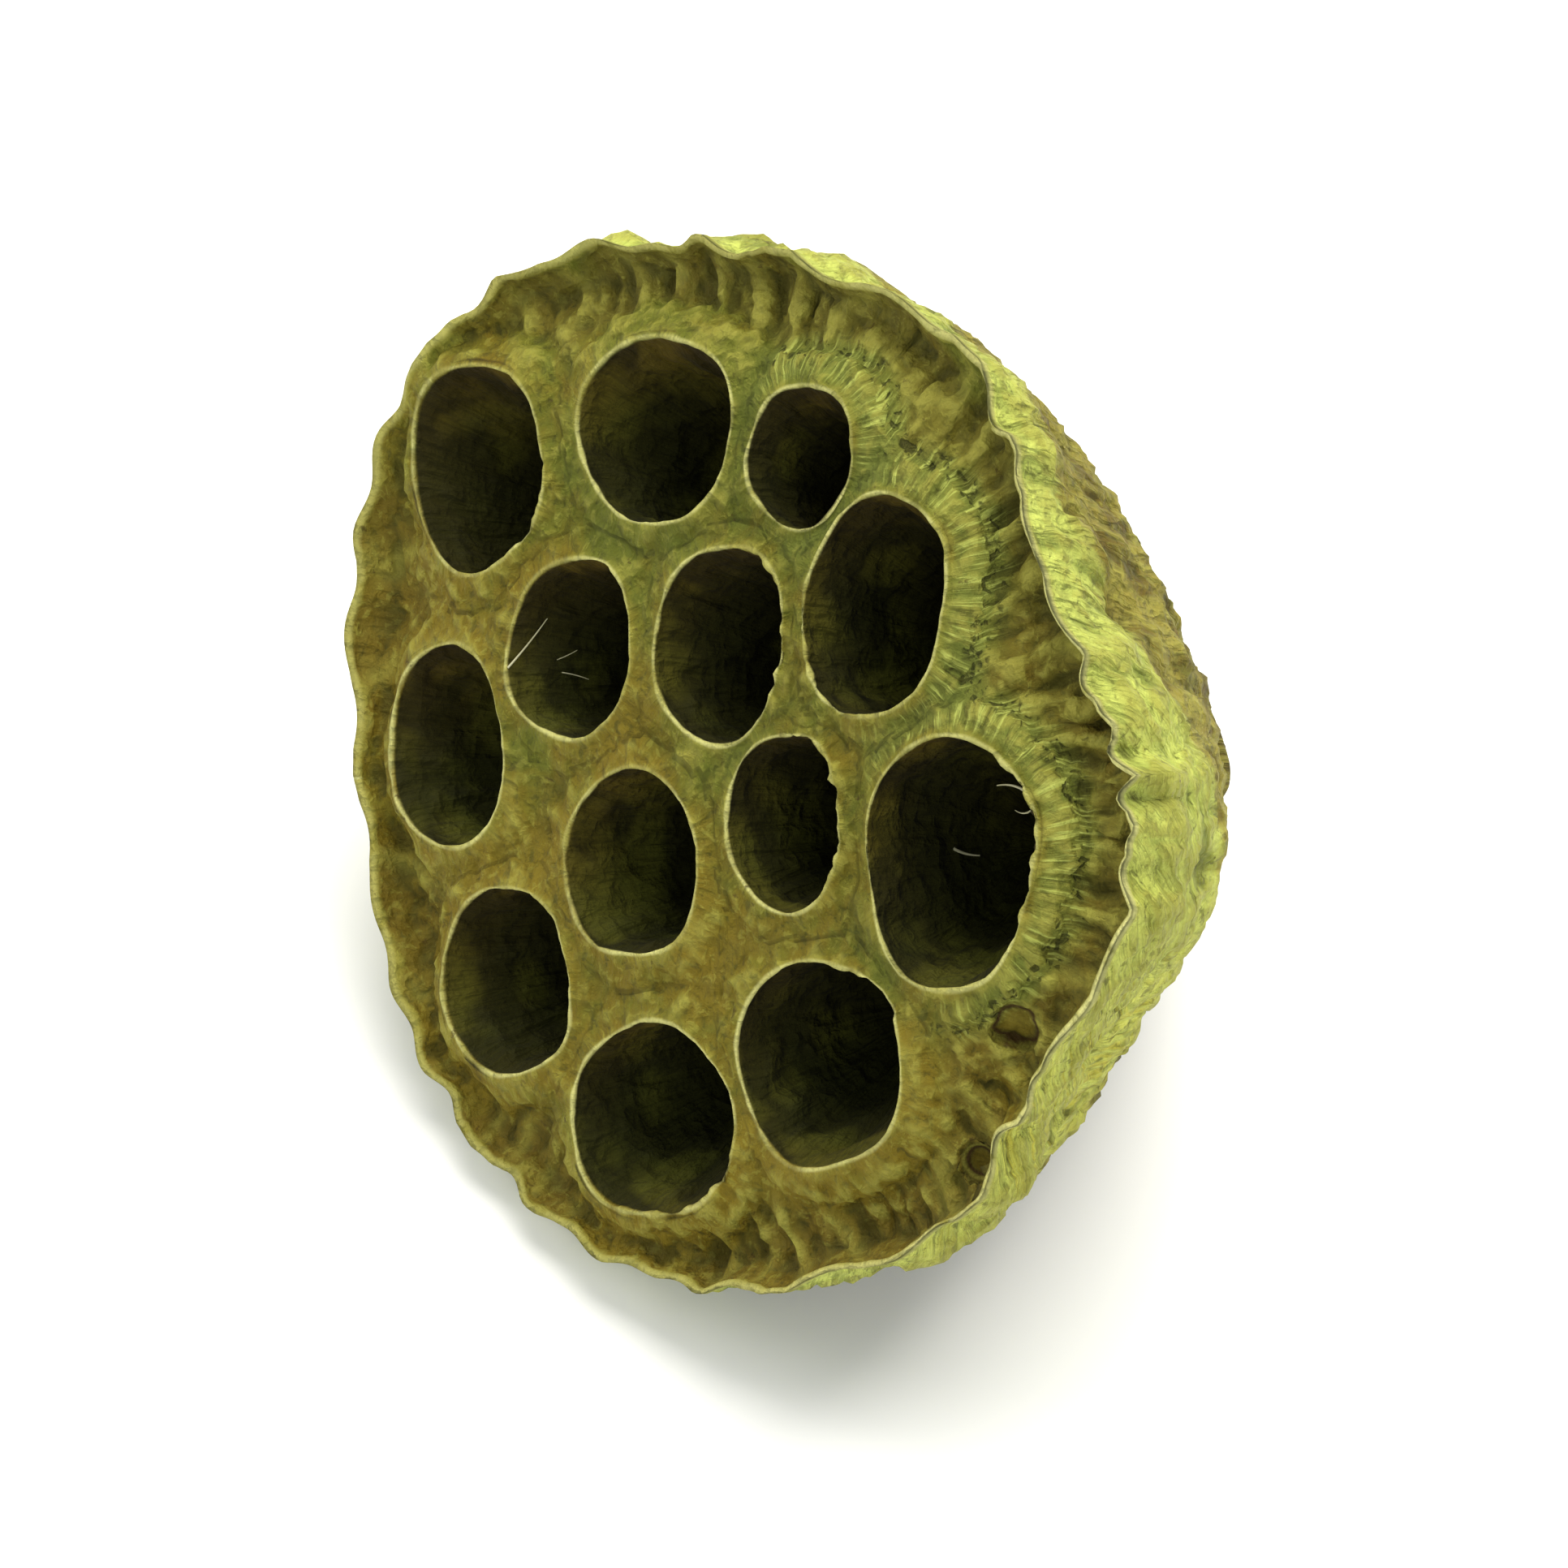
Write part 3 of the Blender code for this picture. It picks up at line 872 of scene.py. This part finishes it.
class PodSettings(bpy.types.PropertyGroup):
    """What can be changed on the pod."""

    refinement: bpy.props.IntProperty(
        name="Refinement", description="How many times the skin is subdivided",
        default=2, min=1, max=2,
    )
    wall_strands: bpy.props.FloatProperty(
        name="Wall strands", description="Height of the strands down the wall, in mm", default=1.0
    )
    crumple: bpy.props.FloatProperty(
        name="Crumple", description="Height of the crumples of the dry skin, in mm", default=0.8
    )
    lip_ruffle: bpy.props.FloatProperty(
        name="Lip ruffle", description="Height of the ruffles round the pits, in mm", default=0.3
    )
    skin: tint("Skin", "Colour of the face", 0.160, 0.115, 0.008)
    skin_green: tint("Green skin", "Colour of the greener patches", 0.112, 0.122, 0.012)
    lip_slope: tint("Lip slopes", "Colour of the slopes outside the lips", 0.165, 0.190, 0.032)
    # Painted highlight colour of the crests, the pleats' crests and the ring round each dimple; also the colour of the
    # pale flecks
    crest: tint("Crests", "Colour of the lips and sharp ridges", 0.330, 0.310, 0.050)
    # Painted shade colour of the relief's low parts, between raised strands and in the wall's creases; also the colour
    # of the dark flecks
    groove: tint("Grooves", "Colour deep in the wrinkles", 0.040, 0.038, 0.006)
    # Colour of the grooves between the pits, partly their own green and partly painted shade; also painted shade in
    # the wall's low streaks
    groove_green: tint("Net grooves", "Colour of the grooves between the pits", 0.060, 0.078, 0.012)
    # Painted highlight colour of the pits' thin edges and of the rim's crest
    edge: tint("Edges", "Colour of the thin edges of the pits and of the rim", 0.600, 0.580, 0.210)
    pore: tint("Pores", "Colour of the small pores of the face", 0.026, 0.026, 0.005)
    dimple: tint("Dimples", "Colour of the blind dimples and of dark specks", 0.050, 0.028, 0.006)
    # The pits' colours: partly their own brown and partly painted shade, with the lower sides painted as lit
    pit_top: tint("Pit walls", "Colour of the pits' walls under the lips", 0.056, 0.037, 0.003)
    pit_low: tint("Pit sides", "Colour of the pits' greener lower sides", 0.036, 0.044, 0.005)
    pit_floor: tint("Pit floors", "Colour deep in the pits", 0.038, 0.033, 0.003)
    wall: tint("Wall", "Colour of the wall under the rim", 0.240, 0.280, 0.050)
    # Painted highlight colour of the wall's raised strands, streaks and folds, and of the collars' strands
    wall_crest: tint("Wall ridges", "Colour of the wall's ridges and strands", 0.535, 0.585, 0.125)
    # Painted light: the wall's lit side, a lighter and yellower copy of the wall's colour
    wall_dry: tint("Dry wall", "Colour of the wall's drier, yellower side", 0.460, 0.390, 0.040)
    trough: tint("Trough", "Colour of the browner panels inside the rim", 0.120, 0.083, 0.010)
    cone: tint("Cone", "Colour of the cone towards the stub", 0.132, 0.093, 0.013)


class StageSettings(bpy.types.PropertyGroup):
    """What can be changed on the stage."""

    floor_colour: tint("Floor", "Colour of the floor", 0.86, 0.86, 0.85)
    camera_azimuth: bpy.props.FloatProperty(
        name="Azimuth", description="Where the camera stands round the pod",
        subtype="ANGLE", unit="ROTATION", default=math.radians(52.3),
    )
    camera_height: bpy.props.FloatProperty(
        name="Elevation", description="How high the camera looks down from",
        subtype="ANGLE", unit="ROTATION", default=math.radians(49.6),
    )
    camera_distance: bpy.props.FloatProperty(
        name="Distance", description="How far off the camera stands", unit="LENGTH", default=0.55
    )


class LOTUS_OT_dress_pod(bpy.types.Operator):
    """Makes the pod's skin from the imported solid, with its strands, crumples and colours"""

    bl_idname = "lotus.dress_pod"
    bl_label = "Dress the Pod"

    def execute(self, context):
        look = context.scene.lotus_pod
        source = FRAME["nodes"]["lotus_pod"]
        piece = source.copy()
        piece.data = source.data.copy()
        piece.name = piece.data.name = "pod_skin"
        for key in list(piece.keys()):
            del piece[key]
        piece.parent = None
        context.scene.collection.objects.link(piece)
        self.refine(piece, look)
        survey = Survey(piece.data)
        self.wave_rim(piece.data, survey)
        self.crumple(piece, look, survey)
        self.measure(piece.data, survey)
        spots = survey.dimple_spots(read_points(piece.data))
        piece.data.materials.clear()
        piece.data.materials.append(PodPaint(look).paint(spots))
        piece.data.shade_smooth()
        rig.ride(piece, "root")
        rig.replaces(piece, "lotus_pod")
        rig.slot(piece, "dried_pod")
        return {"FINISHED"}

    def refine(self, piece, look):
        """Merges the solid's loose triangles, pairs them into quads and subdivides them."""
        select_only(piece)
        bpy.ops.object.mode_set(mode="EDIT")
        bpy.ops.mesh.select_all(action="SELECT")
        bpy.ops.mesh.remove_doubles(threshold=0.02 * MM)
        bpy.ops.mesh.tris_convert_to_quads(
            face_threshold=math.radians(50), shape_threshold=math.radians(60)
        )
        bpy.ops.object.mode_set(mode="OBJECT")
        self.crease_edges(piece.data)
        subdivision = piece.modifiers.new("Refine", "SUBSURF")
        subdivision.levels = subdivision.render_levels = look.refinement
        apply_modifiers(piece)

    def crease_edges(self, mesh):
        """Keeps the pits' mouths and the rim crisp when the skin is subdivided."""
        survey = Survey(mesh)
        mouth = (np.abs(survey.to_pit) < 0.15) & (survey.in_pit < 0.6)
        rim = (np.abs(survey.to_rim) < 0.25) & (np.abs(survey.under_rim) < 0.5)
        edges = read_edges(mesh)
        sharp = np.where(mouth[edges].all(1), 0.75, np.where(rim[edges].all(1), 0.6, 0.0))
        creases = mesh.attributes.new("crease_edge", "FLOAT", "EDGE")
        creases.data.foreach_set("value", sharp.astype(np.float32))

    def wave_rim(self, mesh, survey):
        """Moves the rim in and out in uneven waves, most where it dried most crumpled."""
        angle = survey.angle
        movable = (survey.in_pit == 0) * ease(survey.to_pit / 1.5)
        wave = survey.pleats(*RIM_WAVES) + survey.pleats(*BROAD_PLEATS) * 0.4 - 0.5
        strength = 0.35 + 0.65 * ease(np.cos(angle - 0.2) * 0.7 + 0.5)
        strength *= ease(1.4 - survey.to_rim / 4.0) * ease((9 - survey.depth) / 9) * movable
        middle, breadth, dent = RIM_DENT
        dent = dent * np.exp(-((angle - middle) / breadth) ** 2)
        dent *= ease((26 - survey.depth) / 14) * ease(1.4 - survey.to_rim / 7.0) * movable
        shift = wave * strength * RIM_WAVE - dent
        points = survey.here.copy()
        points[:, 0] += np.cos(angle) * shift
        points[:, 1] += np.sin(angle) * shift
        points = points * MM @ TURN_ARRAY.T + np.array(FACE_MIDDLE)
        mesh.vertices.foreach_set("co", points.ravel())
        mesh.update()

    def crumple(self, piece, look, survey):
        """Wrinkles the skin, but pierces no rim and stays in the solid's box."""
        strand_map(piece.data, survey)
        room = room_inside(piece, survey)
        start = read_points(piece.data)
        normals = read_normals(piece.data)
        self.mark_groups(piece, survey)
        self.raise_wrinkles(piece, look)
        points = read_points(piece.data)
        sunk = -((points - start) * normals).sum(1) / MM
        points += normals * (np.maximum(sunk - room, 0) * MM)[:, None]
        low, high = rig.box("lotus_pod")
        points = np.clip(points, np.array(low), np.array(high))
        piece.data.vertices.foreach_set("co", points.ravel())
        piece.data.update()

    def mark_groups(self, piece, survey):
        """Marks where each kind of wrinkle is raised, and how strongly."""
        face, to_pit, to_rim = survey.face, survey.to_pit, survey.to_rim
        deep = ease((survey.in_pit - 0.6) / 2)
        wall = np.where(survey.wall, ease(survey.depth / 2) * ease(survey.radius / 26), 0)
        lips = np.where(survey.wall, 0, ease((2.6 - np.abs(to_pit)) / 1.4) * (1 - deep))
        rim = np.exp(-(to_rim / 0.5) ** 2 - (survey.under_rim / 0.6) ** 2)
        hollow = ease(to_rim / 1.5) * ease((4.2 - to_rim) / 2.6) * ease((to_pit - 0.6) / 1.5)
        trough = np.where(face, ease((to_pit - 2.0) / 1.5) * ease((9 - to_rim) / 5), 0)
        right = 0.35 + 0.65 * ease(np.cos(survey.angle) * 0.6 + 0.7)
        uneven = 0.65 + 0.35 * np.sin(5 * survey.angle + 1.0) * np.sin(9 * survey.angle)
        pleated = trough * uneven * (0.3 + 0.7 * right) * ease((to_rim - 0.2) / 1.4)
        pored = np.exp(-((to_pit - 3.0) / 0.6) ** 2) * ease((to_rim - 2.0) / 1.5)
        pored = np.where(face, pored * (1 - survey.groove()), 0)
        groups = {
            "wall": wall,
            "wall band": wall * ease((16 - survey.depth) / 8),
            "pit walls": deep,
            "lips": lips,
            "ragged lips": lips * survey.raggedness(),
            "collars": survey.collar(),
            "rim": rim * (survey.in_pit == 0),
            "rim hollow": np.where(face, hollow, 0),
            "open face": np.where(face, ease((to_pit - 0.5) / 1.4) * ease(to_rim / 1.2), 0),
            "grooves": survey.groove(),
            "pored line": pored * (0.25 + 0.75 * ease(survey.collar() * 4)),
            "folds": right * trough * ease((to_rim - 0.4) / 2.2),
            "broad pleats": pleated * (1 - survey.pleats(*BROAD_PLEATS)),
            "narrow pleats": pleated * (1 - survey.pleats(*NARROW_PLEATS)),
            "dimples": ease((1.2 - survey.to_dimple()) / 0.6),
            "dimple edges": np.exp(-((survey.to_dimple() - 1.35) / 0.25) ** 2),
        }
        for name, weights in groups.items():
            mark_group(piece, name, weights)

    def raise_wrinkles(self, piece, look):
        """Raises the wrinkles one after another, the even ones first."""
        crumple, ruffle = look.crumple, look.lip_ruffle
        wrinkle(piece, "Dimples", -0.6, "dimples")
        wrinkle(piece, "Dimple edges", 0.4, "dimple edges")
        smoothing = piece.modifiers.new("Softer grooves", "SMOOTH")
        smoothing.factor = 0.5
        smoothing.iterations = 14
        smoothing.vertex_group = "grooves"
        apply_modifiers(piece)
        wrinkle(piece, "Grooves", -0.4, "grooves")
        wrinkle(piece, "Rim hollow", -1.0, "rim hollow")
        wrinkle(piece, "Rim", 0.2, "rim")
        wrinkle(piece, "Broad pleats", -1.7 * crumple, "broad pleats")
        wrinkle(piece, "Narrow pleats", -0.6 * crumple, "narrow pleats")
        wrinkle(piece, "Pored line", -0.45, "pored line")

        cells = {"kind": "VORONOI"}
        soft = {"noise_depth": 2}
        hard = {"noise_type": "HARD_NOISE", "noise_depth": 2}
        strands = {"on_strands": True}
        for name, height, group, scale, pattern in (
            ("Wall facets", -1.4, "wall band", 6.0 * MM, cells),
            ("Wall strands", -look.wall_strands, "wall", 0.22, hard | strands),
            ("Wall crumples", -crumple, "wall", 3.4 * MM, hard),
            ("Pit strands", 0.7, "pit walls", 0.25, {"noise_depth": 3} | strands),
            ("Pit folds", -1.2, "pit walls", 5.0 * MM, hard),
            ("Trough folds", -1.1 * crumple, "folds", 0.26, hard | strands),
            ("Trough crumples", -0.7 * crumple, "folds", 3.2 * MM, cells),
            ("Face crumples", -1.2 * crumple, "open face", 3.0 * MM, hard),
            ("Fine crumples", 0.6 * crumple, "open face", 1.2 * MM, soft),
            ("Lip ruffles", 2.6 * ruffle, "collars", 0.10, soft | strands),
            ("Lip crumples", 1.3 * ruffle, "lips", 2.2 * MM, soft),
            ("Ragged lips", 1.1, "ragged lips", 1.3 * MM, soft),
        ):
            wrinkle(piece, name, height, group, scale, **pattern)

    def measure(self, mesh, survey):
        """Writes the attributes that the skin's material reads."""
        face, to_pit, to_rim = survey.face, survey.to_pit, survey.to_rim
        seam = np.exp(-((survey.to_next_pit - to_pit) / 0.9) ** 2)
        trough = ease((to_pit - 2.5) / 1.5) * ease(to_rim / 1.0) * ease((8 - to_rim) / 4)
        narrow = 0.7 * survey.pleats(*NARROW_PLEATS)
        crests = np.maximum(survey.pleats(*BROAD_PLEATS), narrow) ** 3
        levels = {
            "pit_depth": survey.in_pit / 15,
            # Painted light in the pits: their lower sides, which face the light
            "pit_low": (survey.in_pit > 0) * (0.5 - 0.5 * np.sin(survey.pit_angle + 0.5)),
            "on_wall": survey.wall,
            "depth": survey.depth,
            "turn": survey.angle,
            "to_pit": np.where(survey.wall, 9.0, np.minimum(to_pit, 9.0)),
            "to_rim": to_rim,
            "under_rim": survey.under_rim,
            "between_pits": survey.groove(),
            "on_collar": survey.collar(),
            "seam": np.where(face & (to_pit < 4.0), seam, 0),
            "green_side": 0.5 + (survey.across * 0.5 + survey.up * 0.9) / 70,
            # The relief and the pleats' crests set where the skin is painted with shade and highlights
            "fine_relief": relief_values(mesh, 3),
            "broad_relief": relief_values(mesh, 24),
            "pleat_crest": np.where(face, crests * trough, 0),
        }
        for name, values in levels.items():
            layer = mesh.attributes.new(name, "FLOAT", "POINT")
            layer.data.foreach_set("value", values.astype(np.float32))


class LOTUS_OT_add_fibres(bpy.types.Operator):
    """Adds the dry fibres that hang in some of the pits"""

    bl_idname = "lotus.add_fibres"
    bl_label = "Add the Fibres"

    def execute(self, context):
        material = fibre_material()
        for number, (start, end, bend, size) in enumerate(FIBRES, 1):
            piece = self.fibre(context, Vector(start), Vector(end), bend, size)
            piece.name = piece.data.name = "fibre_%d" % number
            piece.data.materials.append(material)
            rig.ride(piece, "root")
            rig.slot(piece, "dried_pod")
        return {"FINISHED"}

    def fibre(self, context, first, last, bend, size):
        """One thin tapering thread, drawn as a curve and made a mesh."""
        bpy.ops.curve.primitive_bezier_curve_add()
        curve = context.object
        along = last - first
        aside = along.cross(Vector((0, 0, 1))).normalized() * bend
        ends = zip(curve.data.splines[0].bezier_points, (first, last), FIBRE_TAPER)
        for bezier, spot, taper in ends:
            bezier.handle_left_type = bezier.handle_right_type = "FREE"
            bezier.co = from_pod(spot)
            bezier.handle_left = from_pod(spot - along * 0.35 + aside)
            bezier.handle_right = from_pod(spot + along * 0.35 + aside)
            bezier.radius = taper
        curve.data.bevel_depth = size * MM
        curve.data.bevel_resolution = 1
        curve.data.resolution_u = 10
        curve.data.use_fill_caps = True
        select_only(curve)
        bpy.ops.object.convert(target="MESH")
        piece = context.object
        piece.data.shade_smooth()
        return piece


class LOTUS_OT_set_stage(bpy.types.Operator):
    """Lays the pale floor, lights it softly and sets the camera"""

    bl_idname = "lotus.set_stage"
    bl_label = "Set the Stage"

    def execute(self, context):
        look = context.scene.lotus_stage
        self.lay_floor(context, look)
        for light in LIGHTS:
            self.add_light(context, *light)
        self.set_sky(context)
        self.set_camera(context, look)
        context.scene.view_settings.view_transform = "Standard"
        return {"FINISHED"}

    def lay_floor(self, context, look):
        """The pale, matt floor under the pod."""
        bpy.ops.object.select_all(action="DESELECT")
        bpy.ops.mesh.primitive_plane_add(size=6.0, location=(0, 0, 0))
        floor = context.object
        floor.name = "floor"
        values = {"Base Color": tuple(look.floor_colour), "Roughness": 0.9}
        floor.data.materials.append(Shading("floor_white").finish(values))
        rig.stage(floor)

    def add_light(self, context, name, place, size, power, colour):
        """One soft light that aims at the pod."""
        bpy.ops.object.light_add(type="AREA", location=place)
        light = context.object
        light.name = name
        light.data.size = size
        light.data.energy = power
        light.data.color = colour
        way = LIGHTS_AIM - Vector(place)
        light.rotation_euler = way.to_track_quat("-Z", "Y").to_euler()

    def set_sky(self, context):
        """Even, cool light from all round."""
        world = context.scene.world or bpy.data.worlds.new("studio")
        context.scene.world = world
        world.use_nodes = True
        sky = world.node_tree.nodes["Background"]
        sky.inputs["Color"].default_value = SKY_COLOUR
        sky.inputs["Strength"].default_value = SKY_STRENGTH

    def set_camera(self, context, look):
        """The camera, at the angle that its settings give."""
        around, up = look.camera_azimuth, look.camera_height
        back = Vector((
            math.sin(around) * math.cos(up),
            -math.cos(around) * math.cos(up),
            math.sin(up),
        ))
        bpy.ops.object.camera_add(location=CAMERA_AIM + back * look.camera_distance)
        camera = context.object
        camera.name = "camera"
        camera.rotation_euler = (-back).to_track_quat("-Z", "Y").to_euler()
        camera.data.lens = CAMERA_LENS
        camera.data.clip_start = CAMERA_NEAR
        context.scene.camera = camera


class LOTUS_PT_pod(bpy.types.Panel):
    """Lists the pod's settings and its steps"""

    bl_label = "Lotus Pod"
    bl_idname = "LOTUS_PT_pod"
    bl_space_type = "VIEW_3D"
    bl_region_type = "UI"
    bl_category = "Lotus Pod"

    def draw(self, context):
        for step, settings in (
            ("lotus.dress_pod", context.scene.lotus_pod),
            ("lotus.add_fibres", None),
            ("lotus.set_stage", context.scene.lotus_stage),
        ):
            self.layout.operator(step)
            for name in settings.bl_rna.properties.keys() if settings else ():
                if name not in ("rna_type", "name"):
                    self.layout.prop(settings, name)


CLASSES = (
    PodSettings,
    StageSettings,
    LOTUS_OT_dress_pod,
    LOTUS_OT_add_fibres,
    LOTUS_OT_set_stage,
    LOTUS_PT_pod,
)


def register():
    for item in CLASSES:
        bpy.utils.register_class(item)
    bpy.types.Scene.lotus_pod = bpy.props.PointerProperty(type=PodSettings)
    bpy.types.Scene.lotus_stage = bpy.props.PointerProperty(type=StageSettings)


def unregister():
    del bpy.types.Scene.lotus_stage
    del bpy.types.Scene.lotus_pod
    for item in reversed(CLASSES):
        bpy.utils.unregister_class(item)


def main():
    for name in ("Camera", "Cube", "Light"):
        leftover = bpy.data.objects.get(name)
        if leftover is not None:
            bpy.data.objects.remove(leftover)
    register()
    bpy.ops.lotus.dress_pod()
    bpy.ops.lotus.add_fibres()
    bpy.ops.lotus.set_stage()
    dressed_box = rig.bounds()
    sizes = {
        "cad": [list(corner) for corner in CAD_BOX],
        "visual": [list(corner) for corner in dressed_box],
    }
    with open("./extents.json", "w") as file:
        json.dump(sizes, file)


if __name__ == "__main__":
    main()
